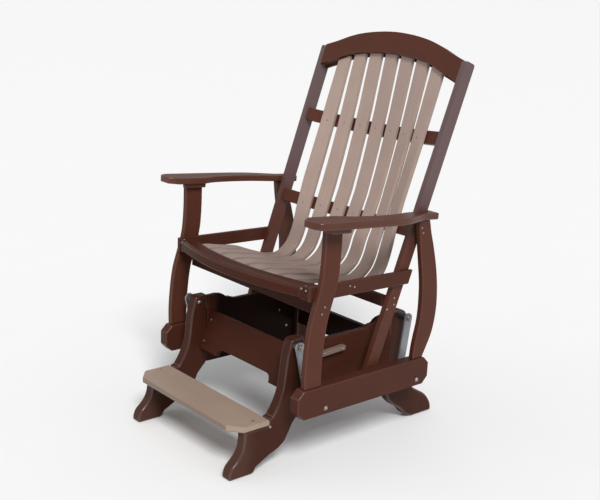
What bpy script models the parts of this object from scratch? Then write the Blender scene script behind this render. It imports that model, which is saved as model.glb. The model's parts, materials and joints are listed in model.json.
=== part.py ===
"""A balcony glider: a slatted armchair that hangs on four swing arms over a fixed base.

Metres, +Z up. The sitter faces -Y, and left is +X. The origin is on the floor, midway
between the front and the rear toes.
"""
import math

import bmesh
import bpy
from mathutils import Matrix, Vector

MODEL = "balcony_glider"

# Clearances
GAP = 0.0003
RUNNING_GAP = 0.0004
SLAT_END_GAP = 0.002
OPEN_PIVOT_GAP = 0.0024

# Board stock
THIN = 0.019
THICK = 0.038
RAIL_TALL = 0.044
SLAT_THICK = 0.0145
SLAT_WIDE = 0.053
SLAT_PITCH = 0.072
SLAT_COUNT = 7
SLAT_FAN_SHARE = 0.975

# Chair frame across, from the middle outwards
STILE_IN = 0.307
SIDE_RAIL_IN = STILE_IN + THIN + GAP
SIDE_RAIL_THICK = 0.013
POST_IN = SIDE_RAIL_IN + SIDE_RAIL_THICK + GAP
BOTTOM_RAIL_OUT = SIDE_RAIL_IN + THICK

# Back: a leaning plane through the front faces of the stiles
BACK_LEAN = math.radians(19.65)
BACK_Y = 0.2305
BACK_Z = 0.800
STILE_DEEP = 0.043
STILE_TOP = 0.430
STILE_BOTTOM = -0.630
STILE_ROUND = 0.008
STILE_SPLAY = math.radians(0.8)
STILE_SPLAY_AT = -0.220

# Arched top board, as distances along the leaning plane
ARCH_TOP = 0.499
ARCH_END_TOP = 0.432
ARCH_LOW = 0.426
ARCH_END_LOW = 0.359
ARCH_THICK = 0.037
ARCH_LIP = 0.006
GROOVE_FACE = 0.0115
GROOVE_WIDE = 0.018
ARCH_TOP_SHARES = (
    (0, 1), (0.235, 0.942), (0.384, 0.855), (0.53, 0.725), (0.675, 0.53), (0.815, 0.28), (1, 0)
)
ARCH_LOW_SHARES = (
    (0, 1), (0.3, 0.915), (0.466, 0.83), (0.62, 0.65), (0.766, 0.38), (0.9, 0.17), (1, 0)
)

# Bowed cross rails of the back, as places of their lower edges along the leaning plane
UPPER_RAIL_AT = 0.158
LOWER_RAIL_AT = -0.139
UPPER_RAIL_BOW = 0.054
LOWER_RAIL_BOW = 0.066
UPPER_RAIL_RECESS = 0.0095
LOWER_RAIL_RECESS = 0.010
SLAT_LEAN_SHARE = 0.085
SEAT_LEAN_SHARE = 0.07

# Seat, measured along Y and Z at an outer slat
SEAT_FRONT_Z = 0.572
SEAT_LOW_Z = 0.503
SEAT_LOW_Y = 0.094
SEAT_BOARD_DEEP = 0.046
SEAT_BOARD_TALL = 0.036
SEAT_BLOCK_TALL = 0.041
SEAT_BLOCK_IN = 0.298
SEAT_BOARD_Y = -0.274
SEAT_BOARD_BOW = 0.052
SEAT_DEEP = SEAT_LOW_Y - (SEAT_BOARD_Y + SEAT_BOARD_DEEP)
SEAT_DROP = SEAT_FRONT_Z - SEAT_LOW_Z
SEAT_SHARES = ((0.15, 0.975), (0.28, 0.86), (0.52, 0.66), (0.66, 0.42), (0.78, 0.225), (0.89, 0.07), (1, 0))
BEND_DEEP = 0.096
BEND_TALL = 0.102
BEND_SHARES = ((0.22, 0), (0.438, 0.108), (0.697, 0.324), (0.85, 0.58), (1, 1))
BEND_BOW = 0.028
SEAT_BOW_SHARES = (0, 0.02, 0.1, 0.2, 0.3, 0.45, 0.6)
BEND_BOW_SHARES = (0.85, 0.95, 1, 1, 1)

# Seat rails
SIDE_RAIL_FRONT = -0.226
SIDE_RAIL_BACK = 0.198
SIDE_RAIL_TOP = 0.574
SIDE_RAIL_FALL = 0.009
FRONT_RAIL_TALL = 0.076
FRONT_RAIL_Y = -0.1755
REAR_RAIL_Y = 0.104
REAR_RAIL_TALL = 0.036

# Low rails
BOTTOM_RAIL_FRONT = -0.273
BOTTOM_RAIL_BACK = 0.277
BOTTOM_RAIL_LOW = 0.180
BOTTOM_RAIL_TALL = 0.0905
BOTTOM_RAIL_CUT = 0.022

# Armrests
ARM_IN = 0.317
ARM_OUT = 0.412
ARM_FRONT = -0.2635
ARM_LONG = 0.5345
ARM_THICK = 0.021
ARM_TOP = 0.7805
ARM_FALL = math.radians(3.95)
ARM_NOTCH_LONG = 0.076
ARM_HOOK = 0.009
ARM_FRONT_SHARES = ((0.0, 0.71), (0.0, 0.263))
ARM_INNER_SHARES = (
    (0.062, 0.01), (0.25, 0.01), (0.323, 0.18), (0.454, 0.295), (0.64, 0.295), (0.724, 0.22), (0.80, 0.13)
)
ARM_OUTER_SHARES = (
    (1, 0.516), (0.884, 0.516), (0.775, 0.747), (0.678, 0.916), (0.585, 0.985), (0.5, 1), (0.062, 1),
    (0.022, 0.9)
)
CLEAT_LONG = 0.086
CLEAT_AHEAD = 0.013
CLEAT_WIDE = 0.0416
CLEAT_TALL = 0.013

# Front posts: straight at the head, swept forward at the foot
POST_WIDE = 0.064
POST_HEAD_Y = -0.160
POST_SWEEP = 0.055
POST_SWEEP_SHARES = (
    (0, 0.98), (0.06, 1), (0.18, 0.98), (0.265, 0.92), (0.34, 0.845), (0.42, 0.72), (0.474, 0.586),
    (0.567, 0.33), (0.68, 0.10), (0.79, 0.02), (1, 0)
)

# Rear posts: bowed to the rear, as shares of the reach and of the height
REAR_POST_BACK = 0.095
REAR_POST_Y = ARM_FRONT + ARM_LONG - REAR_POST_BACK
REAR_POST_REACH = 0.125
REAR_POST_OUTER_SHARES = (
    (0.591, 0), (0.756, 0.087), (0.85, 0.14), (0.929, 0.207), (0.976, 0.277), (1, 0.36), (0.985, 0.455),
    (0.921, 0.584), (0.78, 0.742), (0.685, 0.827), (0.598, 0.896), (0.504, 1)
)
REAR_POST_INNER_SHARES = (
    (0.134, 1), (0.175, 0.905), (0.265, 0.757), (0.345, 0.643), (0.405, 0.54), (0.43, 0.43), (0.425, 0.32),
    (0.395, 0.25), (0.325, 0.167), (0.275, 0.1), (0.235, 0)
)

# Base legs, as shares of the reach from the panel and of the height
LEG_IN = 0.229
REAR_LEG_IN = LEG_IN + THIN - THICK
LEG_TALL = 0.395
FRONT_LEG_Y = -0.175
FRONT_LEG_REACH = 0.266
REAR_LEG_Y = 0.211
REAR_LEG_REACH = 0.230
FRONT_SHIN_SHARES = (
    (0.143, 1), (0.18, 0.982), (0.192, 0.942), (0.218, 0.886), (0.248, 0.732), (0.271, 0.615),
    (0.297, 0.559), (0.331, 0.506), (0.376, 0.453), (0.42, 0.412)
)
FRONT_TOE_SHARES = (
    (0.801, 0.29), (0.827, 0.205), (0.865, 0.162), (0.917, 0.124), (0.959, 0.099), (0.985, 0.071),
    (1, 0.025), (0.996, 0)
)
FRONT_HEEL_SHARES = (
    (0.692, 0), (0.658, 0.013), (0.632, 0.041), (0.575, 0.063), (0.508, 0.086), (0.436, 0.111),
    (0.338, 0.134), (0.278, 0.157), (0.222, 0.187), (0.184, 0.23), (0.154, 0.266), (0.128, 0.304),
    (0.071, 0.349), (0, 0.397)
)
REAR_SHIN_SHARES = (
    (0.2, 1), (0.27, 0.992), (0.31, 0.97), (0.325, 0.93), (0.325, 0.86), (0.324, 0.732), (0.328, 0.64),
    (0.347, 0.565), (0.381, 0.506), (0.433, 0.423), (0.481, 0.347), (0.558, 0.278), (0.697, 0.223),
    (0.835, 0.175), (0.935, 0.114), (0.991, 0.048), (1, 0)
)
REAR_HEEL_SHARES = (
    (0.584, 0), (0.519, 0.015), (0.433, 0.043), (0.385, 0.073), (0.338, 0.099), (0.225, 0.142),
    (0.117, 0.19), (0.048, 0.238), (0.009, 0.291), (0, 0.397)
)

# Side panels of the base
PANEL_END_DROP = 0.004
PANEL_MIDDLE_DROP = 0.031
PANEL_END_TOP = LEG_TALL - PANEL_END_DROP
PANEL_MIDDLE_TOP = LEG_TALL - PANEL_MIDDLE_DROP
PANEL_LOW = 0.158
PANEL_STEP_SHARES = (
    (1, 1), (0.72, 0.93), (0.655, 0.74), (0.592, 0.37), (0.514, 0.3), (0.447, 0.11), (0.385, 0)
)

# Base cross boards
APRON_TOP_Y = -0.157
APRON_TOP_Z = 0.340
APRON_LEAN = math.radians(21.5)
APRON_TALL = 0.136
APRON_ARCH_TALL = 0.026
APRON_ARCH_HALF = 0.138
APRON_ARCH_ROUND = 0.020
REAR_APRON_LOW = 0.230
REAR_APRON_TOP = 0.315
REAR_APRON_Y = 0.209

# Footrest
FOOTREST_HALF = 0.270
FOOTREST_SHARE = 0.405
FOOTREST_TOP = LEG_TALL * FOOTREST_SHARE
FOOTREST_FRONT = -0.431
FOOTREST_BACK = -0.298
FOOTREST_CUT_ACROSS = 0.046
FOOTREST_CUT_ALONG = 0.037

# Stop strips on the outside of the panels
STRIP_FRONT = -0.102
STRIP_LONG = 0.100
STRIP_TALL = 0.015
STRIP_DROP = 0.081
STRIP_LOW = LEG_TALL - STRIP_DROP
STRIP_LEAN = math.radians(3)

# Pivots, as places along Y and Z
FRONT_PIVOT_DROP = 0.020
REAR_PIVOT_DROP = 0.013
FRONT_UPPER = (-0.210, LEG_TALL - FRONT_PIVOT_DROP)
FRONT_LOWER = (-0.166, 0.200)
REAR_UPPER = (0.249, LEG_TALL - REAR_PIVOT_DROP)
REAR_LOWER = (0.224, 0.201)

# Swing arms and their bolts and bushes
SPACER_LONG = 0.0168
ARM_BAR_THICK = 0.006
ARM_BAR_HALF_WIDE = 0.016
BOLT_RADIUS = 0.005
BUSH_WALL = 0.003
SPACER_WALL = 0.006
BOLT_HEAD_RADIUS = 0.0075
NUT_RADIUS = 0.010
BOLT_HEAD_TALL = 0.005
BOLT_CROWN_SHARE = 0.55
BAR_IN = LEG_IN + THICK + GAP + SPACER_LONG
BAR_OUT = BAR_IN + ARM_BAR_THICK
BUSH_BORE = BOLT_RADIUS + RUNNING_GAP
OPEN_BORE = BOLT_RADIUS + OPEN_PIVOT_GAP

# How finely round shapes are drawn
FLOW_STEPS = 3
CORNER_STEPS = 4
ROUND_STEPS = 20

BROWN = ("brown_board", (0.068, 0.030, 0.022), 0.45, 0.0)
TAN = ("tan_board", (0.335, 0.255, 0.215), 0.5, 0.0)
ZINC = ("zinc_steel", (0.52, 0.53, 0.54), 0.38, 1.0)
STEEL = ("bright_steel", (0.74, 0.74, 0.74), 0.25, 1.0)
BLACK = ("black_bush", (0.02, 0.02, 0.02), 0.5, 0.0)


def collection(name):
    """A new collection in the scene."""
    made = bpy.data.collections.new(name)
    bpy.context.scene.collection.children.link(made)
    return made


def material(look):
    """The material for a look: its name, colour, roughness and metallic value."""
    name, colour, roughness, metallic = look
    made = bpy.data.materials.get(name)
    if made is None:
        made = bpy.data.materials.new(name)
        made.use_nodes = True
        shader = made.node_tree.nodes["Principled BSDF"]
        shader.inputs["Base Color"].default_value = (*colour, 1)
        shader.inputs["Roughness"].default_value = roughness
        shader.inputs["Metallic"].default_value = metallic
    return made


def keep(name, data, place, look, body):
    """Put a piece in the model, carried by its body's axis."""
    piece = bpy.data.objects.new(name, data)
    data.materials.append(material(look))
    parts.objects.link(piece)
    piece.parent = body
    piece.matrix_parent_inverse = Matrix.Translation(body.location).inverted()
    piece.matrix_basis = place
    return piece


def flow(points, steps=FLOW_STEPS):
    """A smooth run through the points, ends included, for points at uneven distances."""
    knots = [Vector(point) for point in points]
    spans = [(end - start).length for start, end in zip(knots, knots[1:])]
    runs = [(end - start) / span for start, end, span in zip(knots, knots[1:], spans)]
    slopes = [runs[0]]
    for before, after, short, long in zip(runs, runs[1:], spans, spans[1:]):
        slopes.append((before * long + after * short) / (short + long))
    slopes.append(runs[-1])
    curve = []
    for index, span in enumerate(spans):
        start, end = knots[index:index + 2]
        leave, arrive = slopes[index] * span, slopes[index + 1] * span
        for step in range(steps):
            t = step / steps
            bend = (start - end) * 2 + leave + arrive
            curve.append(tuple(start + leave * t + (end - start - leave - bend) * t * t + bend * t ** 3))
    return curve + [tuple(points[-1])]


def rounded(points, radius, steps=CORNER_STEPS):
    """A closed outline with each corner cut to an arc that touches both its sides."""
    outline = []
    for index, corner in enumerate(points):
        here = Vector(corner)
        back = (Vector(points[index - 1]) - here).normalized()
        ahead = (Vector(points[(index + 1) % len(points)]) - here).normalized()
        half = back.angle(ahead) / 2
        centre = here + (back + ahead).normalized() * radius / math.sin(half)
        start = here + back * radius / math.tan(half) - centre
        end = here + ahead * radius / math.tan(half) - centre
        for step in range(steps + 1):
            spoke = start.lerp(end, step / steps).normalized() * radius
            outline.append(tuple(centre + spoke))
    return outline


def scaled(shares, start, size):
    """Points from shares of a box's two sizes."""
    return [(start[0] + u * size[0], start[1] + v * size[1]) for u, v in shares]


def circle(centre, radius, steps=ROUND_STEPS):
    """A round hole's outline."""
    turns = [2 * math.pi * step / steps for step in range(steps)]
    return [(centre[0] + radius * math.cos(a), centre[1] + radius * math.sin(a)) for a in turns]


def board(name, outline, thickness, place, look, body, holes=()):
    """A flat board: an outline on the place's XY plane, half its thickness to each side."""
    curve = bpy.data.curves.new(name, "CURVE")
    curve.dimensions = "2D"
    curve.fill_mode = "BOTH"
    curve.extrude = thickness / 2
    for loop in (outline, *holes):
        spline = curve.splines.new("POLY")
        spline.points.add(len(loop) - 1)
        for point, (u, v) in zip(spline.points, loop):
            point.co = (u, v, 0, 1)
        spline.use_cyclic_u = True
    return keep(name, curve, place, look, body)


def upright_side(x):
    """Outlines in (Y, Z), with the board's thickness along X."""
    return Matrix(((0, 0, 1, x), (1, 0, 0, 0), (0, 1, 0, 0), (0, 0, 0, 1)))


def upright_front(y):
    """Outlines in (X, Z), with the board's thickness along Y."""
    return Matrix(((1, 0, 0, 0), (0, 0, -1, y), (0, 1, 0, 0), (0, 0, 0, 1)))


def lying(z):
    """Outlines in (X, Y), with the board's thickness along Z."""
    return Matrix.Translation((0, 0, z))


def sloping(y, z, fall):
    """Outlines in (X, distance to the rear) on a plane that falls to the rear."""
    return Matrix.Translation((0, y, z)) @ Matrix.Rotation(-fall, 4, "X")


def back_point(along, behind):
    """A point of the back in (Y, Z), from its distances along and behind the leaning plane."""
    lean_sin = math.sin(BACK_LEAN)
    lean_cos = math.cos(BACK_LEAN)
    return (BACK_Y + along * lean_sin + behind * lean_cos, BACK_Z + along * lean_cos - behind * lean_sin)


def on_back(behind):
    """Outlines in (X, distance along the leaning plane), with the thickness across it."""
    y, z = back_point(0, behind)
    return Matrix.Translation((0, y, z)) @ Matrix.Rotation(math.pi / 2 - BACK_LEAN, 4, "X")


def across_back(along):
    """Outlines in (X, distance behind the leaning plane), with the thickness along it."""
    y, z = back_point(along, 0)
    return Matrix.Translation((0, y, z)) @ Matrix.Rotation(-BACK_LEAN, 4, "X")


def both_sides(name):
    """The two sides of the glider with the names of their pieces."""
    return ((name + "_left", 1), (name + "_right", -1))


def turned(name, profile, side, pivot, look, body):
    """A turned piece on a pivot line at one side: its profile's radii and places along X.

    The profile runs towards the middle on its outer side.
    """
    mesh = bmesh.new()
    closed = profile[0][0] > 0
    run = [mesh.verts.new((radius, 0, side * x)) for radius, x in profile[::side]]
    for start, end in zip(run, run[1:] + run[:1] if closed else run[1:]):
        mesh.edges.new((start, end))
    data = bpy.data.meshes.new(name)
    mesh.to_mesh(data)
    mesh.free()
    place = Matrix.Translation((0, *pivot)) @ Matrix.Rotation(math.pi / 2, 4, "Y")
    piece = keep(name, data, place, look, body)
    screw = piece.modifiers.new("turned", "SCREW")
    screw.angle = 2 * math.pi
    screw.steps = ROUND_STEPS
    screw.render_steps = ROUND_STEPS
    screw.use_merge_vertices = True
    screw.merge_threshold = GAP / 10
    screw.use_smooth_shade = True
    return piece


def axis_empty(name, pivot):
    """An empty on a pivot line, which carries a body."""
    empty = bpy.data.objects.new(name, None)
    empty.location = (0, *pivot)
    parts.objects.link(empty)
    return empty


def stile_face(along):
    """Where a stile's inner face lies across, from a place along the leaning plane."""
    return STILE_IN + (along - STILE_SPLAY_AT) * math.tan(STILE_SPLAY)


def bulge(x):
    """How much of the bow a place across the back has: 1 in the middle, 0 at the stiles."""
    return 1 - (x / STILE_IN) ** 2


def arch(shares, middle, end):
    """One edge of the arched board from its right end to its left end."""
    reach = stile_face(ARCH_END_LOW - ARCH_LIP) - GAP
    half = [(u * reach, end + v * (middle - end)) for u, v in shares]
    mirrored = [(-u, v) for u, v in reversed(half[1:])]
    return flow(mirrored + half)


def height_at(line, place):
    """The second value of a run of points where its first value passes the place."""
    for start, end in zip(line, line[1:]):
        low, high = sorted((start, end))
        if low[0] <= place <= high[0]:
            share = (place - low[0]) / max(high[0] - low[0], GAP)
            return low[1] + share * (high[1] - low[1])
    raise ValueError("the place lies outside the run of points")


def seat_board_back(x):
    """Where the bowed front board of the seat ends, so where a slat begins, along Y."""
    return SEAT_BOARD_Y + SEAT_BOARD_DEEP + SEAT_BOARD_BOW * (x / SIDE_RAIL_IN) ** 2


def slat_seat(x, recess, bow):
    """How far behind the leaning plane a slat's face lies where it rests on a bowed rail."""
    across = math.hypot(1, 2 * bow * x / STILE_IN ** 2)
    return recess + bow * bulge(x) - (SLAT_THICK * (1 + SLAT_LEAN_SHARE) + GAP) * across


def fanned(x, z):
    """A place across a slat at one height: the slats stand closer at the seat than at the arch."""
    low, high = back_point(LOWER_RAIL_AT, 0)[1], back_point(ARCH_LOW, 0)[1]
    rise = min(max((z - low) / (high - low), 0), 1)
    return x * (SLAT_FAN_SHARE + (1 - SLAT_FAN_SHARE) * rise ** 2 * (3 - 2 * rise))


def slat_line(x):
    """The upper face of a slat in (Y, Z) at one place across, from the arch to the front."""
    top = height_at(arch(ARCH_LOW_SHARES, ARCH_LOW, ARCH_END_LOW), x) + ARCH_LIP / 3
    upper, lower = [fanned(x, back_point(along, 0)[1]) for along in (UPPER_RAIL_AT, LOWER_RAIL_AT)]
    line = [
        back_point(top, GROOVE_FACE + GAP),
        back_point(UPPER_RAIL_AT, slat_seat(upper, UPPER_RAIL_RECESS, UPPER_RAIL_BOW)),
        back_point(LOWER_RAIL_AT, slat_seat(lower, LOWER_RAIL_RECESS, LOWER_RAIL_BOW)),
    ]
    outer = (SLAT_COUNT - 1) / 2 * SLAT_PITCH + SLAT_WIDE / 2
    extra = BEND_BOW * (bulge(x) - bulge(outer)) / (1 - bulge(outer))
    bend = scaled(BEND_SHARES, (SEAT_LOW_Y, SEAT_LOW_Z), (BEND_DEEP, BEND_TALL))
    for (y, z), share in reversed(list(zip(bend, BEND_BOW_SHARES))):
        line.append((y + extra * share, z))
    front = SEAT_LOW_Y - SEAT_DEEP
    seat = scaled(SEAT_SHARES, (front, SEAT_LOW_Z), (SEAT_DEEP, SEAT_DROP))
    for (y, z), share in reversed(list(zip(seat, SEAT_BOW_SHARES))):
        line.append((y + extra * share, z))
    line.append((seat_board_back(lower) + SLAT_END_GAP, SEAT_FRONT_Z))
    return line


def under_seat(y):
    """The height just under every slat at one place along the seat."""
    outer = (SLAT_COUNT - 1) / 2 * SLAT_PITCH + SLAT_WIDE / 2
    tops = [height_at([p for p in flow(slat_line(x)) if p[1] < SIDE_RAIL_TOP], y) for x in (0, outer)]
    return min(tops) - SLAT_THICK * (1 + SEAT_LEAN_SHARE) - GAP


def slat(name, x):
    """One bent slat: a strip of the seat's and back's upper face with a wall behind it."""
    mesh = bmesh.new()
    right, left = [
        [mesh.verts.new((fanned(edge, z), y, z)) for y, z in flow(slat_line(edge))]
        for edge in (x - SLAT_WIDE / 2, x + SLAT_WIDE / 2)
    ]
    for row in range(len(right) - 1):
        mesh.faces.new((right[row], right[row + 1], left[row + 1], left[row]))
    data = bpy.data.meshes.new(name)
    mesh.to_mesh(data)
    mesh.free()
    piece = keep(name, data, Matrix.Identity(4), TAN, chair)
    wall = piece.modifiers.new("wall", "SOLIDIFY")
    wall.thickness = SLAT_THICK
    wall.offset = -1
    wall.use_even_offset = True
    return piece


def arm_under(y):
    """The height of the armrests' underside along Y."""
    return ARM_TOP - (y - ARM_FRONT) * math.tan(ARM_FALL) - ARM_THICK / math.cos(ARM_FALL)


def make_base():
    """Legs, panels, aprons, footrest and stop strips."""
    bolt_hole = BOLT_RADIUS + GAP
    front_size = (-FRONT_LEG_REACH, LEG_TALL)
    shin = scaled(FRONT_SHIN_SHARES, (FRONT_LEG_Y, 0), front_size)
    toe = scaled(FRONT_TOE_SHARES, (FRONT_LEG_Y, 0), front_size)
    heel = scaled(FRONT_HEEL_SHARES, (FRONT_LEG_Y, 0), front_size)
    shelf = FOOTREST_TOP - THIN - GAP
    ledge = [(FOOTREST_BACK + GAP, shin[-1][1]), (FOOTREST_BACK + GAP, shelf), (toe[0][0], shelf)]
    front_outline = [(FRONT_LEG_Y, LEG_TALL), *flow(shin), *ledge, *flow(toe), *flow(heel)]
    rear_size = (REAR_LEG_REACH, LEG_TALL)
    back = flow(scaled(REAR_SHIN_SHARES, (REAR_LEG_Y, 0), rear_size))
    instep = flow(scaled(REAR_HEEL_SHARES, (REAR_LEG_Y, 0), rear_size))
    rear_outline = [(REAR_LEG_Y, LEG_TALL), *back, *instep]
    for leg, outline, inner, pivot in (
        ("base_leg_front", front_outline, LEG_IN, FRONT_UPPER),
        ("base_leg_rear", rear_outline, REAR_LEG_IN, REAR_UPPER)
    ):
        for name, side in both_sides(leg):
            place = upright_side(side * (inner + THICK / 2))
            board(name, outline, THICK, place, BROWN, base, [circle(pivot, bolt_hole)])
    make_panels()
    make_aprons()
    make_footrest()


def make_panels():
    """Boards between the legs, high at the ends, with a strip on the outside of each."""
    front = FRONT_LEG_Y + GAP
    rear = REAR_LEG_Y - GAP
    half = (rear - front) / 2
    middle = (rear + front) / 2
    rise = PANEL_END_TOP - PANEL_MIDDLE_TOP
    step = flow(scaled(PANEL_STEP_SHARES, (0, PANEL_MIDDLE_TOP), (half, rise)))
    top = [(middle + y, z) for y, z in step] + [(middle - y, z) for y, z in reversed(step)]
    outline = [(rear, PANEL_LOW), *top, (front, PANEL_LOW)]
    for name, side in both_sides("base_side_panel"):
        board(name, outline, THIN, upright_side(side * (LEG_IN + THIN / 2)), BROWN, base)
    lean_cos = math.cos(STRIP_LEAN)
    lean_sin = math.sin(STRIP_LEAN)
    corners = [(0, 0), (STRIP_LONG, 0), (STRIP_LONG, STRIP_TALL), (0, STRIP_TALL)]
    strip = [
        (STRIP_FRONT + u * lean_cos - v * lean_sin, STRIP_LOW + u * lean_sin + v * lean_cos)
        for u, v in corners
    ]
    strip_x = LEG_IN + THIN + GAP + THIN / 2
    for name, side in both_sides("stop_strip"):
        board(name, strip, THIN, upright_side(side * strip_x), TAN, base)


def make_aprons():
    """The leaning board between the front legs, arched below, and the plain one at the rear."""
    half = LEG_IN - GAP
    crown = APRON_ARCH_TALL - APRON_TALL
    arch_points = [
        (-half, 0), (-half, -APRON_TALL), (-APRON_ARCH_HALF, -APRON_TALL), (-APRON_ARCH_HALF, crown),
        (APRON_ARCH_HALF, crown), (APRON_ARCH_HALF, -APRON_TALL), (half, -APRON_TALL), (half, 0)
    ]
    soft = rounded(arch_points, APRON_ARCH_ROUND)
    inner = soft[3 * (CORNER_STEPS + 1):5 * (CORNER_STEPS + 1)]
    outline = [*arch_points[:3], *inner, *arch_points[5:]]
    lean = Matrix.Rotation(math.pi / 2 - APRON_LEAN, 4, "X")
    place = Matrix.Translation((0, APRON_TOP_Y, APRON_TOP_Z)) @ lean @ lying(-THIN / 2)
    board("base_apron_front", outline, THIN, place, BROWN, base)
    half = REAR_LEG_IN - GAP
    low, top = REAR_APRON_LOW, REAR_APRON_TOP
    plain = [(-half, low), (half, low), (half, top), (-half, top)]
    board("base_apron_rear", plain, THIN, upright_front(REAR_APRON_Y + THIN / 2), BROWN, base)


def make_footrest():
    """The board on the front toes, with its two front corners cut."""
    cut_x = FOOTREST_HALF - FOOTREST_CUT_ACROSS
    cut_y = FOOTREST_FRONT + FOOTREST_CUT_ALONG
    outline = [
        (-FOOTREST_HALF, FOOTREST_BACK), (-FOOTREST_HALF, cut_y), (-cut_x, FOOTREST_FRONT),
        (cut_x, FOOTREST_FRONT), (FOOTREST_HALF, cut_y), (FOOTREST_HALF, FOOTREST_BACK)
    ]
    board("footrest_board", outline, THIN, lying(FOOTREST_TOP - THIN / 2), TAN, base)


def make_swing_arms():
    """Four flat bars with their bushes, and the bolts that they turn on."""
    for end, upper, lower, body in (
        ("front", FRONT_UPPER, FRONT_LOWER, front_arms), ("rear", REAR_UPPER, REAR_LOWER, rear_arms)
    ):
        reach = Vector((lower[0] - upper[0], lower[1] - upper[1]))
        lower_bore = BUSH_BORE if end == "front" else OPEN_BORE
        start = math.atan2(reach.y, reach.x)
        outline = []
        for centre, turn in ((Vector((0, 0)), start + math.pi / 2), (reach, start - math.pi / 2)):
            for step in range(ROUND_STEPS // 2 + 1):
                angle = turn + math.pi * 2 * step / ROUND_STEPS
                spoke = Vector((math.cos(angle), math.sin(angle)))
                outline.append(tuple(centre + spoke * ARM_BAR_HALF_WIDE))
        eyes = [
            circle((0, 0), BUSH_BORE + BUSH_WALL + GAP),
            circle(tuple(reach), lower_bore + BUSH_WALL + GAP)
        ]
        for name, side in both_sides(end + "_arm"):
            x = side * (BAR_IN + ARM_BAR_THICK / 2)
            place = Matrix.Translation((0, *upper)) @ upright_side(x)
            board(name, outline, ARM_BAR_THICK, place, ZINC, body, eyes)
        make_pivot(end, upper, lower, lower_bore, body)


def bush(bore, spacer_end, bar_end):
    """A flanged bush: a neck through the bar's eye and a spacer from the bar outwards or inwards."""
    neck = bore + BUSH_WALL
    spacer = bore + SPACER_WALL
    if spacer_end > bar_end:
        return [(bore, spacer_end), (spacer, spacer_end), (spacer, BAR_OUT + GAP), (neck, BAR_OUT + GAP),
                (neck, BAR_IN), (bore, BAR_IN)]
    return [(bore, BAR_OUT), (neck, BAR_OUT), (neck, BAR_IN - GAP), (spacer, BAR_IN - GAP),
            (spacer, spacer_end), (bore, spacer_end)]


def make_pivot(end, upper, lower, lower_bore, body):
    """The bushes and bolts at the two ends of a pair of swing arms."""
    leg_in = LEG_IN if end == "front" else REAR_LEG_IN
    upper_bush = bush(BUSH_BORE, leg_in + THICK + GAP, BAR_IN)
    for name, side in both_sides(end + "_upper_bush"):
        turned(name, upper_bush, side, upper, BLACK, body)
    lower_bush = bush(lower_bore, SIDE_RAIL_IN - GAP, BAR_OUT)
    for name, side in both_sides(end + "_lower_bush"):
        turned(name, lower_bush, side, lower, BLACK, body)
    for level, inner, inner_radius, outer, outer_radius, pivot, carrier in (
        ("_upper_bolt", leg_in - GAP, BOLT_HEAD_RADIUS, BAR_OUT + GAP, NUT_RADIUS, upper, base),
        ("_lower_bolt", BAR_IN - GAP, NUT_RADIUS, BOTTOM_RAIL_OUT + GAP, BOLT_HEAD_RADIUS, lower, chair)
    ):
        bolt = [
            (0, outer + BOLT_HEAD_TALL), (outer_radius * BOLT_CROWN_SHARE, outer + BOLT_HEAD_TALL),
            (outer_radius, outer + BOLT_HEAD_TALL * BOLT_CROWN_SHARE), (outer_radius, outer),
            (BOLT_RADIUS, outer), (BOLT_RADIUS, inner), (inner_radius, inner),
            (inner_radius, inner - BOLT_HEAD_TALL * BOLT_CROWN_SHARE),
            (inner_radius * BOLT_CROWN_SHARE, inner - BOLT_HEAD_TALL), (0, inner - BOLT_HEAD_TALL)
        ]
        for name, side in both_sides(end + level):
            turned(name, bolt, side, pivot, STEEL, carrier)


def make_low_frame():
    """The low rails and the two pairs of shaped posts that stand on them."""
    low = BOTTOM_RAIL_LOW
    top = low + BOTTOM_RAIL_TALL
    front = BOTTOM_RAIL_FRONT
    rear = BOTTOM_RAIL_BACK
    cut = BOTTOM_RAIL_CUT
    rail = [
        (front, low + cut), (front, top - cut), (front + cut, top), (rear - cut, top),
        (rear, top - cut), (rear, low + cut), (rear - cut, low), (front + cut, low)
    ]
    holes = [circle(FRONT_LOWER, BOLT_RADIUS + GAP), circle(REAR_LOWER, BOLT_RADIUS + GAP)]
    for name, side in both_sides("bottom_rail"):
        place = upright_side(side * (SIDE_RAIL_IN + THICK / 2))
        board(name, rail, THICK, place, BROWN, chair, holes)
    foot = top + GAP
    head = arm_under(POST_HEAD_Y) - GAP
    middle = [
        (POST_HEAD_Y - POST_SWEEP * sweep, foot + (head - foot) * up) for up, sweep in POST_SWEEP_SHARES
    ]
    front_edge = flow([(y - POST_WIDE / 2, z) for y, z in middle])
    rear_edge = flow([(y + POST_WIDE / 2, z) for y, z in middle])
    front_edge[-1] = (front_edge[-1][0], arm_under(front_edge[-1][0]) - GAP)
    rear_edge[-1] = (rear_edge[-1][0], arm_under(rear_edge[-1][0]) - GAP)
    for name, side in both_sides("front_post"):
        place = upright_side(side * (POST_IN + THIN / 2))
        board(name, front_edge + rear_edge[::-1], THIN, place, BROWN, chair)
    rear_head = arm_under(REAR_POST_Y) - GAP
    size = (REAR_POST_REACH, rear_head - foot)
    outer = flow(scaled(REAR_POST_OUTER_SHARES, (REAR_POST_Y, foot), size))
    inner = flow(scaled(REAR_POST_INNER_SHARES, (REAR_POST_Y, foot), size))
    outer[-1] = (outer[-1][0], arm_under(outer[-1][0]) - GAP)
    inner[0] = (inner[0][0], arm_under(inner[0][0]) - GAP)
    for name, side in both_sides("rear_post"):
        place = upright_side(side * (POST_IN + THIN / 2))
        board(name, outer + inner, THIN, place, BROWN, chair)


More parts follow.
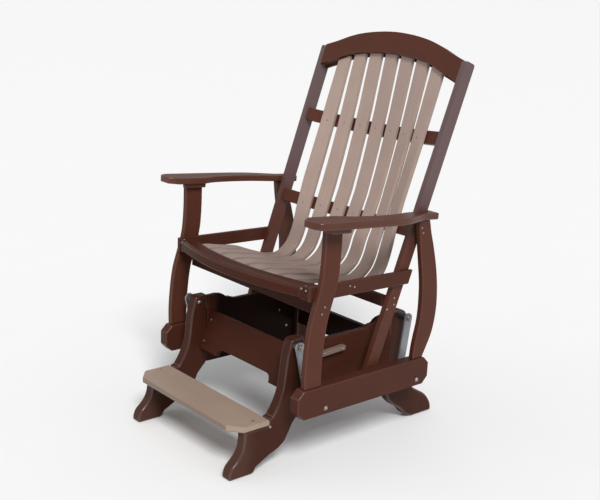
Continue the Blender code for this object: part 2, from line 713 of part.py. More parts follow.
def make_back():
    """The stiles, the arched board and the two bowed cross rails."""
    stile = rounded([
        back_point(STILE_BOTTOM, 0), back_point(STILE_TOP, 0),
        back_point(STILE_TOP, STILE_DEEP), back_point(STILE_BOTTOM, STILE_DEEP)
    ], STILE_ROUND)
    for name, side in both_sides("back_stile"):
        forward = Vector((0, -math.cos(BACK_LEAN), math.sin(BACK_LEAN)))
        splay = Matrix.Rotation(-side * STILE_SPLAY, 4, forward)
        turn_at = Matrix.Translation((side * STILE_IN, *back_point(STILE_SPLAY_AT, 0)))
        place = turn_at @ splay @ turn_at.inverted() @ upright_side(side * (STILE_IN + THIN / 2))
        board(name, stile, THIN, place, BROWN, chair)
    top = arch(ARCH_TOP_SHARES, ARCH_TOP, ARCH_END_TOP)
    low = arch(ARCH_LOW_SHARES, ARCH_LOW, ARCH_END_LOW)
    lip = [(x, s - ARCH_LIP) for x, s in low]
    place = on_back(ARCH_THICK / 2)
    top_rail = solid(board("back_top_rail", top + lip[::-1], ARCH_THICK, place, BROWN, chair))
    below = [(x, s - ARCH_LIP * 3) for x, s in low]
    stretch = 1 + ARCH_LIP / STILE_IN
    face_cut = [(x * stretch, s) for x, s in low + below[::-1]]
    face_thick = GROOVE_FACE + GROOVE_WIDE
    cut(top_rail, face_cut, face_thick + ARCH_LIP, on_back((face_thick - ARCH_LIP) / 2), "arch_face_cutter")
    slot_half = (SLAT_COUNT - 1) / 2 * SLAT_PITCH + SLAT_WIDE / 2 + SLAT_END_GAP
    slot = [(x, s + ARCH_LIP) for x, s in low if abs(x) < slot_half]
    ends = [(side * slot_half, height_at(low, side * slot_half) + ARCH_LIP) for side in (-1, 1)]
    slot = [ends[0], *slot, ends[1]]
    slot_cut = slot + [(x, s - ARCH_LIP * 2) for x, s in reversed(slot)]
    cut(top_rail, slot_cut, GROOVE_WIDE, on_back(GROOVE_FACE + GROOVE_WIDE / 2), "arch_slot_cutter")
    for name, along, recess, bow in (
        ("back_rail_upper", UPPER_RAIL_AT, UPPER_RAIL_RECESS, UPPER_RAIL_BOW),
        ("back_rail_lower", LOWER_RAIL_AT, LOWER_RAIL_RECESS, LOWER_RAIL_BOW)
    ):
        count = FLOW_STEPS * 4
        reach = stile_face(along) - GAP
        places = [reach * step / count for step in range(-count, count + 1)]
        face = [(x, recess + bow * bulge(x)) for x in places]
        rear = [(x, behind + THIN) for x, behind in reversed(face)]
        board(name, face + rear, RAIL_TALL, across_back(along + RAIL_TALL / 2), BROWN, chair)


def solid(piece):
    """A mesh made from a board's curve, with its caps welded, in the curve's place."""
    layer = bpy.context.evaluated_depsgraph_get()
    data = bpy.data.meshes.new_from_object(piece.evaluated_get(layer))
    mesh = bmesh.new()
    mesh.from_mesh(data)
    bmesh.ops.remove_doubles(mesh, verts=mesh.verts, dist=GAP / 10)
    mesh.to_mesh(data)
    mesh.free()
    made = bpy.data.objects.new(piece.name + "_mesh", data)
    for holder in piece.users_collection:
        holder.objects.link(made)
    made.parent = piece.parent
    made.matrix_parent_inverse = piece.matrix_parent_inverse
    made.matrix_basis = piece.matrix_basis
    name = piece.name
    curve = piece.data
    bpy.data.objects.remove(piece)
    bpy.data.curves.remove(curve)
    made.name = name
    return made


def cut(piece, outline, thickness, place, name):
    """Cut a board-shaped space out of a mesh piece."""
    cutter = solid(board(name, outline, thickness, place, BROWN, chair))
    parts.objects.unlink(cutter)
    cutters.objects.link(cutter)
    cutter.hide_render = True
    cutter.display_type = "WIRE"
    difference = piece.modifiers.new(name, "BOOLEAN")
    difference.operation = "DIFFERENCE"
    difference.solver = "EXACT"
    difference.object = cutter


def make_seat():
    """The side rails, the bowed front board with its end blocks, two cross rails and the slats."""
    fall = SIDE_RAIL_FALL / (SIDE_RAIL_BACK - SIDE_RAIL_FRONT)
    lean = math.tan(BACK_LEAN) * RAIL_TALL
    rear_top = SIDE_RAIL_TOP - SIDE_RAIL_FALL
    rail = [
        (SIDE_RAIL_FRONT, SIDE_RAIL_TOP), (SIDE_RAIL_BACK, rear_top),
        (SIDE_RAIL_BACK - lean, rear_top - RAIL_TALL + lean * fall),
        (SIDE_RAIL_FRONT, SIDE_RAIL_TOP - RAIL_TALL)
    ]
    for name, side in both_sides("seat_side_rail"):
        place = upright_side(side * (SIDE_RAIL_IN + SIDE_RAIL_THICK / 2))
        board(name, rail, SIDE_RAIL_THICK, place, BROWN, chair)
    half = SIDE_RAIL_IN - GAP
    for name, low, high, tall, count in (
        ("seat_front_board", GAP - SEAT_BLOCK_IN, SEAT_BLOCK_IN - GAP, SEAT_BOARD_TALL, FLOW_STEPS * 8),
        ("seat_end_block_left", SEAT_BLOCK_IN, half, SEAT_BLOCK_TALL, FLOW_STEPS),
        ("seat_end_block_right", -half, -SEAT_BLOCK_IN, SEAT_BLOCK_TALL, FLOW_STEPS)
    ):
        places = [low + (high - low) * step / count for step in range(count + 1)]
        back = [(x, seat_board_back(x)) for x in places]
        front = [(x, y - SEAT_BOARD_DEEP) for x, y in back]
        board(name, front + back[::-1], tall, lying(SEAT_FRONT_Z - tall / 2), BROWN, chair)
    for name, y, tall, between in (
        ("seat_front_rail", FRONT_RAIL_Y, FRONT_RAIL_TALL, "side rails"),
        ("seat_rear_rail", REAR_RAIL_Y, REAR_RAIL_TALL, "stiles")
    ):
        top = min(under_seat(y), under_seat(y + THIN))
        stile_half = stile_face((top - tall - BACK_Z) / math.cos(BACK_LEAN)) - GAP
        reach = half if between == "side rails" else stile_half
        outline = [(-reach, top - tall), (reach, top - tall), (reach, top), (-reach, top)]
        board(name, outline, THIN, upright_front(y + THIN / 2), BROWN, chair)
    for index in range(SLAT_COUNT):
        slat("slat_%d" % (index + 1), (index - (SLAT_COUNT - 1) / 2) * SLAT_PITCH)


def make_armrests():
    """The armrests, each notched round its stile, and a cleat on the left face of each post."""
    wide = ARM_OUT - ARM_IN
    notch_x = stile_face(0) + THIN + GAP
    inner = scaled([(x, y) for y, x in ARM_INNER_SHARES], (ARM_IN, 0), (wide, ARM_LONG))
    outer = scaled([(x, y) for y, x in ARM_OUTER_SHARES], (ARM_IN, 0), (wide, ARM_LONG))
    front = scaled([(x, y) for y, x in ARM_FRONT_SHARES], (ARM_IN, 0), (wide, ARM_LONG))
    hook = ARM_LONG - ARM_HOOK
    notch = [(notch_x, hook - ARM_NOTCH_LONG), (notch_x, hook), (ARM_IN, hook), (ARM_IN, ARM_LONG)]
    inside = [inner[0], *flow(inner[1:] + notch[:1]), *notch[1:]]
    shape = [*front, *inside, outer[0], *flow(outer[1:6]), *outer[6:]]
    for name, side in both_sides("armrest"):
        outline = [(side * x, y) for x, y in shape]
        place = sloping(ARM_FRONT, ARM_TOP, ARM_FALL) @ lying(-ARM_THICK / 2)
        board(name, outline, ARM_THICK, place, BROWN, chair)
    cleat_y = POST_HEAD_Y - POST_WIDE / 2 - CLEAT_AHEAD - ARM_FRONT
    for name, side in both_sides("arm_cleat"):
        if side > 0:
            low, high = POST_IN + THIN + GAP, POST_IN + THIN + GAP + CLEAT_WIDE
        else:
            low, high = SIDE_RAIL_IN, POST_IN - GAP
        bend = cleat_y + CLEAT_LONG - (high - low) / 2
        nose = circle(((low + high) / 2, bend), (high - low) / 2)
        half_nose = [point for point in nose if point[1] >= bend]
        outline = [(side * x, y) for x, y in [(low, cleat_y), (high, cleat_y), *half_nose]]
        place = sloping(ARM_FRONT, ARM_TOP, ARM_FALL) @ lying(-ARM_THICK - GAP - CLEAT_TALL / 2)
        board(name, outline, CLEAT_TALL, place, BROWN, chair)


def build():
    """Model the whole glider."""
    make_base()
    make_swing_arms()
    make_low_frame()
    make_back()
    make_seat()
    make_armrests()


for old in list(bpy.data.objects):
    bpy.data.objects.remove(old, do_unlink=True)
parts = collection(MODEL)
cutters = collection("cutters")
base = axis_empty("base_axis", (0, 0))
front_arms = axis_empty("front_arm_axis", FRONT_UPPER)
rear_arms = axis_empty("rear_arm_axis", REAR_UPPER)
chair = axis_empty("chair_axis", FRONT_LOWER)
build()
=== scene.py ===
import json
import math

import bpy
from bpy.props import FloatProperty, FloatVectorProperty, PointerProperty
from mathutils import Matrix, Vector

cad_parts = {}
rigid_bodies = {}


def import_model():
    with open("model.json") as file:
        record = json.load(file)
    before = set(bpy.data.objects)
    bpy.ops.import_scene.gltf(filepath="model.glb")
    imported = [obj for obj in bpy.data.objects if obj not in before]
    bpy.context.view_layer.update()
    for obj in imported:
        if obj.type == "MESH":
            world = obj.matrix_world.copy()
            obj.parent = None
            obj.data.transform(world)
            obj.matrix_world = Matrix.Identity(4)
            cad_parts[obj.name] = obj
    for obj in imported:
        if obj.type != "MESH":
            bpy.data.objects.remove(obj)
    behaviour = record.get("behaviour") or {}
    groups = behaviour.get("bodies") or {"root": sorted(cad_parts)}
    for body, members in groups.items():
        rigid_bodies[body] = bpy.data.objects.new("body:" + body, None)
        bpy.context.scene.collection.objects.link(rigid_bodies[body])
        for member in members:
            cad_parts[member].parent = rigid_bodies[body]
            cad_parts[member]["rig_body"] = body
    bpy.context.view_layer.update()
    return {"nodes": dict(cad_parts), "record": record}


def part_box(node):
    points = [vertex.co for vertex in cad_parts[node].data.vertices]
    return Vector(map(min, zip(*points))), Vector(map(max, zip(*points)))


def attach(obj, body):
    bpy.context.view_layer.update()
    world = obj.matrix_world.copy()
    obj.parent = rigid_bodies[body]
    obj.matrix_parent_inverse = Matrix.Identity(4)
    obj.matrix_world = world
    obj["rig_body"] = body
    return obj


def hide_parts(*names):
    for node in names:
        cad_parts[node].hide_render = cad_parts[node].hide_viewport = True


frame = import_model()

bl_info = {
    "name": "Balcony glider",
    "version": (1, 0, 0),
    "blender": (4, 5, 0),
    "location": "View3D > Sidebar > Glider",
    "description": "Dresses the boards, steel and screws of a slatted balcony glider",
    "category": "Object",
}

SLOT_COLOUR = {entry["slot"]: entry["base_color"] for entry in frame["record"]["materials"]}
SIDES = (("left", 1), ("right", -1))
SLATS = tuple("slat_%d" % number for number in range(1, 8))
BACK_LEAN = math.radians(19.65)
SMOOTH_UP_TO = math.radians(36)
BLACK = (0.0, 0.0, 0.0, 1.0)

# An edge of a board is rounded where it is sharper than this many degrees.
SHARP_ABOVE = 38

# Edges whose ends lie nearer to a bolt's axis than this go round its bore.
BORE_REACH = 0.009

# How far the edges of the smaller pieces are rounded.
STRIP_EDGE = 0.002
SIDE_RAIL_EDGE = 0.0025
CLEAT_EDGE = 0.0015
SWING_ARM_EDGE = 0.0008
BUSH_EDGE = 0.0006
SHANK_EDGE = 0.0004

# The kinds of board that are tan. All the others are brown.
PALE = ("slat", "footrest", "strip")

# Each kind of board: its tint against its colour, and how brightly its faces and its edges shine.
# The tints paint light and shade on one brown: painted shade darkens the seat rails most, then the
# seat front board and its end blocks, the low and side rails and the legs; painted light brightens
# the armrests, their cleats and the stiles; the panels are lifted to offset their painted shade.
LOOKS = {
    "frame": (1.04, 0.14, 0.35), "stile": (1.08, 0.20, 0.35), "rail": (0.82, 0.12, 0.30),
    "seat_front": (0.72, 0.05, 0.20), "armrest": (1.10, 0.30, 0.45), "leg": (0.88, 0.10, 0.50),
    "panel": (1.22, 0.05, 0.12), "seat_rail": (0.55, 0.05, 0.10), "slat": (1.00, 0.20, 0.30),
    "footrest": (1.00, 0.20, 0.25), "strip": (1.00, 0.20, 0.20),
}

# Where the painted shade and the painted highlights on a board begin and end, along one axis.
SLAT_SEAT_SHADE_Z = (0.54, 0.68)
STILE_SHEEN_Z = (0.62, 0.92)
TOE_HIGHLIGHT_Y = (-0.37, -0.31)
FOOTREST_FRONT_SHADE_Y = (-0.4305, -0.427)
PANEL_SHADE_INSIDE_X = (0.234, 0.244)
APRON_SHADE_BEHIND_Y = (-0.150, -0.125)
# Painted highlight: the greyish brown the front toes of the legs are lightened towards.
TOE_HIGHLIGHT_COLOUR = (0.165, 0.106, 0.088, 1.0)

# How the grain of a board runs: the stretch of its pattern and the turn that lays it along.
GRAIN = {
    "across": ((2.2, 150.0, 150.0), 0.0),
    "along": ((150.0, 2.2, 150.0), 0.0),
    "upright": ((150.0, 150.0, 2.2), 0.0),
    "leaning": ((150.0, 150.0, 2.2), BACK_LEAN),
    "bent": ((190.0, 2.4, 2.4), 0.0),
}

# The bolts of the pivots. The shares are of an end's height, and of its radius for widths.
BOLT_END_TALL = 0.005
BOLT_HEAD_RADIUS = 0.0066
NUT_RADIUS = 0.0088
SHANK_RADIUS = 0.0048
DOME_SHARE = 0.78
WASHER_TALL_SHARE = 0.18
WASHER_WIDE_SHARE = 1.15
NUT_WASHER_TALL_SHARE = 0.16
NUT_WASHER_WIDE_SHARE = 1.12
STUD_TALL_SHARE = 1.25
CHAMFER_FOOT_SHARE = 1.35
CHAMFER_TOP_SHARE = 0.82
CHAMFER_TALL_SHARE = 1.02

# A screw's head and its cross recess, as shares of its radius, and of its height for depth.
SCREW_TALL_SHARE = 0.42
RECESS_LONG_SHARE = 1.05
RECESS_WIDE_SHARE = 0.26
RECESS_DEEP_SHARE = 1.1

# The screws of the chair's sides: a board with the screw's Y and Z.
SIDE_SCREWS = (
    ("front_post", -0.184, 0.515), ("front_post", -0.194, 0.4955),
    ("rear_post", 0.204, 0.702), ("rear_post", 0.211, 0.685),
    ("seat_side_rail", -0.070, 0.5555), ("seat_side_rail", -0.051, 0.5495),
    ("back_stile", 0.138, 0.479), ("back_stile", 0.139, 0.457), ("back_stile", 0.1095, 0.4465),
)

# Other screws, as two of X, Y and Z on the left side, or as shares of a board's length.
BLOCK_FRONT_SCREWS_XZ = ((0.3035, 0.5645), (0.319, 0.5610))
BLOCK_TOP_SCREW_XY = (0.3105, -0.218)
ARMREST_SCREWS_X = 0.350
ARMREST_SCREW_SHARES = (0.07, 0.93)
BACK_RAIL_SCREWS_X = (0.222, 0.292)
FRONT_LEG_SCREW_YZ = (-0.295, 0.136)
REAR_LEG_SCREW_YZ = (0.259, 0.186)
FOOTREST_SCREW_XY = (0.248, -0.346)
APRON_SCREWS_XZ = ((0.2155, 0.310), (0.2185, 0.240))
PANEL_SCREWS_YZ = ((0.138, 0.285), (0.172, 0.222))
STRIP_SCREW_SHARES = (0.12, 0.88)

# The sun lamps: where each shines from, its width in degrees and its power.
LAMPS = (("key", (0.62, -0.34, 0.70), 20, 3.0), ("fill", (-0.5, -0.7, 0.5), 50, 0.2))
LAMPS_AWAY = 4
SKY_POWER = 0.5
FLOOR_WIDE = 700

# The camera: its place, its turn, dip and roll in degrees, its lens in mm and how far it sees.
CAMERA_PLACE = (2.4128, -2.0741, 1.4214)
CAMERA_ANGLES = (49.0045, 14.8404, 2.5999)
CAMERA_LENS = 61.09
CAMERA_REACH = 1000


class Value:
    """A number that varies over a finish. Sums and products with it add the Math nodes."""

    def __init__(self, finish, socket):
        self.finish = finish
        self.socket = socket

    def worked(self, operation, *values):
        """The outcome of a Math node on these values."""
        node = self.finish.node("ShaderNodeMath", {"operation": operation}, dict(enumerate(values)))
        return Value(self.finish, node.outputs[0])

    def __add__(self, other):
        return self.worked("ADD", self, other)

    def __radd__(self, other):
        return self.worked("ADD", other, self)

    def __sub__(self, other):
        return self.worked("SUBTRACT", self, other)

    def __rsub__(self, other):
        return self.worked("SUBTRACT", other, self)

    def __mul__(self, other):
        return self.worked("MULTIPLY", self, other)

    def __rmul__(self, other):
        return self.worked("MULTIPLY", other, self)


class Finish:
    """A material with one shader, and the nodes that vary it over the surface."""

    def __init__(self, name):
        self.material = bpy.data.materials.new(name)
        self.material.use_nodes = True
        self.tree = self.material.node_tree
        self.shader = self.tree.nodes["Principled BSDF"]
        self.place = self.node("ShaderNodeTexCoord").outputs["Object"]

    def feed(self, node, values):
        """Sets sockets of a node, each to a plain value or to a link."""
        for name, value in values.items():
            if isinstance(value, Value):
                value = value.socket
            if isinstance(value, bpy.types.NodeSocket):
                self.tree.links.new(value, node.inputs[name])
            else:
                node.inputs[name].default_value = value

    def node(self, kind, settings=None, values=None):
        """Adds a node with its settings, and the values or links of its sockets."""
        made = self.tree.nodes.new(kind)
        for name, value in (settings or {}).items():
            setattr(made, name, value)
        self.feed(made, values or {})
        return made

    def laid(self, stretch, lean=0.0):
        """The place on the surface, turned about X to the board's lean and then stretched."""
        turn = {"Vector": self.place, "Rotation": (lean, 0, 0)}
        turned = self.node("ShaderNodeMapping", None, turn).outputs[0]
        return self.node("ShaderNodeMapping", None, {"Vector": turned, "Scale": stretch}).outputs[0]

    def along(self, axis):
        """The place on the surface along X, Y or Z."""
        node = self.node("ShaderNodeSeparateXYZ", None, {"Vector": self.place})
        return Value(self, node.outputs[axis])

    def noise(self, place, scale, detail=3.0, roughness=0.55, seed=0.0):
        """A cloudy pattern over the surface. Another seed gives another pattern."""
        node = self.node("ShaderNodeTexNoise", {"noise_dimensions": "4D"}, {
            "Vector": place, "W": seed, "Scale": scale, "Detail": detail, "Roughness": roughness,
        })
        return Value(self, node.outputs[0])

    def spread(self, value, low, high, first=0.0, last=1.0):
        """Goes smoothly from first to last while a value goes from low to high."""
        node = self.node("ShaderNodeMapRange", {"interpolation_type": "SMOOTHSTEP"}, {
            "Value": value, "From Min": low, "From Max": high, "To Min": first, "To Max": last,
        })
        return Value(self, node.outputs[0])

    def mixed(self, share, first, second):
        """The first colour, turning into the second as the share rises to 1."""
        values = {0: share, 6: first, 7: second}
        return self.node("ShaderNodeMix", {"data_type": "RGBA"}, values).outputs[2]

    def bump(self, height, distance, strength=1.0, under=None):
        """Fine relief that follows a height, over another relief where one lies under it."""
        values = {"Height": height, "Distance": distance, "Strength": strength}
        if under is not None:
            values["Normal"] = under
        return self.node("ShaderNodeBump", None, values).outputs[0]


def shade(colour, share):
    """A colour made lighter or darker, as a shader takes it."""
    return tuple(min(1.0, part * share) for part in colour) + (1.0,)


def lumber(kind, run, edge=False):
    """Plastic lumber with its grain running one way. Its routed edges are smoother."""
    name = "%s_%s%s" % (kind, run, "_edge" if edge else "")
    if name in bpy.data.materials:
        return bpy.data.materials[name]
    colours = bpy.context.scene.glider_colours
    pale = kind in PALE
    tint, face_gloss, edge_gloss = LOOKS[kind]
    colour = Vector({
        "leg": colours.base, "panel": colours.base,
        "slat": colours.tan, "footrest": colours.footrest, "strip": colours.strip,
    }.get(kind, colours.brown)) * tint
    # Painted highlight and shade: the rounded edges of brown boards are lighter, those of tan
    # boards darker.
    if edge:
        colour *= 0.92 if pale else 1.08
    stretch, lean = GRAIN[run]
    finish = Finish(name)
    grain = finish.laid(stretch, lean)
    streaks = finish.noise(grain, 1.0, detail=4.0, roughness=0.62)
    lines = finish.noise(grain, 4.5, detail=2.0, seed=3.0)
    cloud = finish.noise(finish.place, 7.0, detail=3.0, seed=8.0)
    pebble = finish.noise(finish.place, 620.0, detail=2.0, seed=5.0)
    mottle = streaks * 0.5 + cloud * 0.5
    tone = finish.spread(mottle, 0.36, 0.64)
    contrast = 0.06 if pale else 0.10
    body = finish.mixed(tone, shade(colour, 1 - contrast), shade(colour, 1 + contrast))
    flecks = finish.spread(lines, 0.62, 0.78, 0.0, 0.12 if pale else 0.22)
    body = finish.mixed(flecks, body, shade(colour, 1.30))
    # Painted shade: the slats are darker low down, over the seat, as if shaded by the arms and the
    # back.
    if kind == "slat":
        seat_shade = finish.spread(finish.along("Z") + cloud * 0.03, *SLAT_SEAT_SHADE_Z, 0.70, 1.0)
        body = finish.mixed(seat_shade, BLACK, body)
    # Painted shade: the inner faces of the panels and aprons are darkened, deeply behind the front
    # apron, for the shade in the base's hollow.
    if kind == "panel":
        apart = finish.along("X")
        outside = finish.spread(apart.worked("ABSOLUTE", apart), *PANEL_SHADE_INSIDE_X, 0.0, 0.80)
        inside = finish.spread(finish.along("Y"), *APRON_SHADE_BEHIND_Y, 0.79, 0.20)
        body = finish.mixed(outside + inside * (1.0 - outside), BLACK, body)
    # Painted highlight: the front toes of the legs are lightened, for the gloss on their rounded
    # tops.
    if kind == "leg":
        toe_highlight = finish.spread(finish.along("Y") + cloud * 0.06, *TOE_HIGHLIGHT_Y, 0.14, 0.0)
        body = finish.mixed(toe_highlight, body, TOE_HIGHLIGHT_COLOUR)
    # Painted shade: the footrest's front face is darker than its top.
    if kind == "footrest":
        front_shade = finish.spread(finish.along("Y"), *FOOTREST_FRONT_SHADE_Y, 0.66, 1.0)
        body = finish.mixed(front_shade, BLACK, body)
    # Painted sheen: the stiles turn towards a pale mauve grey higher up, for the reflection of the
    # bright surroundings on them.
    if kind == "stile":
        stile_sheen = finish.spread(finish.along("Z") + cloud * 0.08, *STILE_SHEEN_Z, 0.0, 1.0)
        body = finish.mixed(stile_sheen, body, shade(colours.stile_sheen, 1.0))
    drawn = finish.bump(lines * 0.6 + streaks * 0.4, 0.0003, 0.12 if edge else 0.25)
    smooth, rough = (0.19, 0.29) if edge else (0.36, 0.50)
    finish.feed(finish.shader, {
        "Base Color": body,
        "Roughness": finish.spread(mottle, 0.35, 0.65, smooth, rough),
        "Normal": finish.bump(pebble, 0.00015, 0.30, drawn),
        "Specular IOR Level": edge_gloss if edge else face_gloss,
    })
    return finish.material


def zinc():
    """Zinc-plated flat bar, rolled along its length and a little dull."""
    if "zinc_bar" in bpy.data.materials:
        return bpy.data.materials["zinc_bar"]
    colour = bpy.context.scene.glider_colours.zinc
    finish = Finish("zinc_bar")
    rolled = finish.noise(finish.laid((900.0, 900.0, 14.0)), 1.0, detail=3.0)
    spangle = finish.node("ShaderNodeTexVoronoi", None, {"Vector": finish.place, "Scale": 260.0})
    spangle = Value(finish, spangle.outputs[0])
    dull = finish.noise(finish.place, 45.0, detail=4.0, seed=2.0)
    tone = finish.spread(rolled * 0.3 + spangle * 0.3 + dull * 0.4, 0.3, 0.62)
    finish.feed(finish.shader, {
        "Base Color": finish.mixed(tone, shade(colour, 0.80), shade(colour, 1.12)),
        "Metallic": 0.85,
        "Roughness": finish.spread(dull, 0.35, 0.65, 0.38, 0.55),
        "Normal": finish.bump(rolled, 0.0001, 0.35),
    })
    return finish.material


def bright_steel():
    """Stainless screws and bolts with fine turning marks and a few dull spots."""
    if "stainless" in bpy.data.materials:
        return bpy.data.materials["stainless"]
    colour = bpy.context.scene.glider_colours.steel
    finish = Finish("stainless")
    turned = finish.noise(finish.place, 900.0, detail=2.0)
    dull = finish.noise(finish.place, 120.0, detail=3.0, seed=4.0)
    finish.feed(finish.shader, {
        "Base Color": finish.mixed(
            finish.spread(dull, 0.4, 0.65), shade(colour, 1.1), shade(colour, 0.82)),
        "Metallic": 0.9,
        "Roughness": finish.spread(dull, 0.35, 0.65, 0.22, 0.36),
        "Normal": finish.bump(turned, 0.00005, 0.25),
    })
    return finish.material


def black_plastic():
    """Moulded black plastic of the bushes, satin, with faint scuffs."""
    if "bush_plastic" in bpy.data.materials:
        return bpy.data.materials["bush_plastic"]
    colour = bpy.context.scene.glider_colours.black
    finish = Finish("bush_plastic")
    scuffs = finish.noise(finish.laid((300.0, 60.0, 300.0)), 1.0, detail=3.0)
    pebble = finish.noise(finish.place, 1500.0, detail=2.0)
    finish.feed(finish.shader, {
        "Base Color": finish.mixed(
            finish.spread(scuffs, 0.5, 0.75), shade(colour, 0.9), shade(colour, 1.8)),
        "Roughness": finish.spread(scuffs, 0.35, 0.7, 0.36, 0.55),
        "Normal": finish.bump(pebble, 0.00006, 0.4),
    })
    return finish.material


def painted_head():
    """The tan-coated heads of the screws that hold the slats."""
    if "coated_head" in bpy.data.materials:
        return bpy.data.materials["coated_head"]
    colour = bpy.context.scene.glider_colours.tan
    finish = Finish("coated_head")
    wear = finish.noise(finish.place, 420.0, detail=3.0)
    finish.feed(finish.shader, {
        "Base Color": finish.mixed(
            finish.spread(wear, 0.45, 0.7), shade(colour, 0.55), shade(colour, 0.8)),
        "Roughness": finish.spread(wear, 0.4, 0.7, 0.35, 0.55),
        "Normal": finish.bump(wear, 0.00005, 0.3),
    })
    return finish.material


def pick(*pieces):
    """Selects these pieces alone and makes the first one active."""
    bpy.ops.object.select_all(action="DESELECT")
    for piece in pieces:
        piece.select_set(True)
    bpy.context.view_layer.objects.active = pieces[0]


def box_of(node):
    """The low and the high corner of a CAD solid."""
    low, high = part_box(node)
    return Vector(low), Vector(high)


def bore_places(piece):
    """The places in Y and Z of the bolts that pass through a piece, or whose ends touch it."""
    across = [corner[0] for corner in piece.bound_box]
    places = []
    for node in frame["nodes"]:
        if "_bolt_" in node:
            low, high = box_of(node)
            if low.x < max(across) and high.x > min(across):
                places.append(((low + high) / 2).yz)
    return places


def marked(piece, sharp):
    """Marks the edges to round: those sharper than an angle that don't go round a bolt's bore."""
    bores = bore_places(piece)
    data = piece.data
    normals = {}
    for face in data.polygons:
        for key in face.edge_keys:
            normals.setdefault(key, []).append(face.normal)
    weight = data.attributes.new("bevel_weight_edge", "FLOAT", "EDGE")
    for edge in data.edges:
        sides = normals.get(edge.key, [])
        ends = [data.vertices[index].co.yz for index in edge.vertices]
        in_bore = any(all((end - bore).length < BORE_REACH for end in ends) for bore in bores)
        keen = len(sides) == 2 and sides[0].angle(sides[1], 0) > math.radians(sharp)
        weight.data[edge.index].value = float(keen and not in_bore)


def rounded(piece, edge, steps, sharp):
    """Rounds the edges sharper than an angle, and shades the piece smoothly between them."""
    pick(piece)
    marked(piece, sharp)
    soften = piece.modifiers.new("rounded edges", "BEVEL")
    soften.width = edge
    soften.segments = steps
    soften.limit_method = "WEIGHT"
    soften.material = len(piece.data.materials) - 1
    bpy.ops.object.modifier_apply(modifier=soften.name)
    bpy.ops.object.shade_smooth_by_angle(angle=SMOOTH_UP_TO)
    even = piece.modifiers.new("even shading", "WEIGHTED_NORMAL")
    even.keep_sharp = True
    bpy.ops.object.modifier_apply(modifier=even.name)


def merged_copy(node, name, quads=False):
    """A copy of a CAD solid with its loose triangles joined into whole faces."""
    source = frame["nodes"][node]
    piece = bpy.data.objects.new(name, source.data.copy())
    bpy.context.scene.collection.objects.link(piece)
    pick(piece)
    bpy.ops.mesh.customdata_custom_splitnormals_clear()
    bpy.ops.object.mode_set(mode="EDIT")
    bpy.ops.mesh.select_all(action="SELECT")
    bpy.ops.mesh.remove_doubles(threshold=0.00001)
    if quads:
        bpy.ops.mesh.tris_convert_to_quads(
            face_threshold=math.radians(50), shape_threshold=math.radians(60))
    else:
        bpy.ops.mesh.dissolve_limited(angle_limit=math.radians(1.0))
    bpy.ops.mesh.select_all(action="DESELECT")
    bpy.ops.object.mode_set(mode="OBJECT")
    return piece


def finished(piece, *finishes):
    """Gives a piece its finish, and where there are two, the second for its rounded edges."""
    piece.data.materials.clear()
    for finish in finishes:
        piece.data.materials.append(finish)


def placed(piece, slot, body, *nodes):
    """Sets a piece on a body, in the stead of the CAD solids named."""
    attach(piece, body)
    if nodes:
        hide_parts(*nodes)


def dressed(node, finishes, slot, edge, steps=3, sharp=SHARP_ABOVE, quads=False):
    """A CAD solid's merged copy with rounded edges, standing in its stead."""
    piece = merged_copy(node, node + "_dressed", quads)
    finished(piece, *finishes)
    rounded(piece, edge, steps, sharp)
    placed(piece, slot, frame["nodes"][node]["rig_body"], node)
    return piece


def board(node, kind, run, edge, steps=3, sharp=SHARP_ABOVE, quads=False):
    """A dressed board of plastic lumber."""
    finishes = (lumber(kind, run), lumber(kind, run, edge=True))
    slot = "tan_board" if kind in PALE else "brown_board"
    return dressed(node, finishes, slot, edge, steps, sharp, quads)


def both(*names):
    """The names of the left and the right piece of each pair."""
    return [name + "_" + side for name in names for side, _ in SIDES]


class GliderSizes(bpy.types.PropertyGroup):
    thick_edge: FloatProperty(
        name="Thick board rounding", description="Radius along the edges of the legs",
        default=0.0065, min=0.001, max=0.012, unit="LENGTH")
    rail_edge: FloatProperty(
        name="Low rail rounding", description="Radius along the edges of the two low rails",
        default=0.0035, min=0.001, max=0.008, unit="LENGTH")
    thin_edge: FloatProperty(
        name="Thin board rounding", description="Radius along the edges of the thinner boards",
        default=0.003, min=0.001, max=0.006, unit="LENGTH")
    slat_edge: FloatProperty(
        name="Slat rounding", description="Radius along the long edges of the slats",
        default=0.003, min=0.001, max=0.005, unit="LENGTH")
    footrest_edge: FloatProperty(
        name="Footrest rounding", description="Radius along the edges of the footrest",
        default=0.005, min=0.001, max=0.008, unit="LENGTH")
    front_edge: FloatProperty(
        name="Seat front rounding", description="Radius of the edge under the sitter's knees",
        default=0.010, min=0.003, max=0.016, unit="LENGTH")
    screw_head: FloatProperty(
        name="Screw head radius", description="Radius of the heads of the frame screws",
        default=0.0034, min=0.002, max=0.008, unit="LENGTH")
    base_screw_head: FloatProperty(
        name="Base screw head radius", description="Radius of the heads of the base's screws",
        default=0.0045, min=0.002, max=0.008, unit="LENGTH")
    slat_screw_head: FloatProperty(
        name="Slat screw head radius", description="Radius of the heads of the slat screws",
        default=0.0026, min=0.0015, max=0.006, unit="LENGTH")


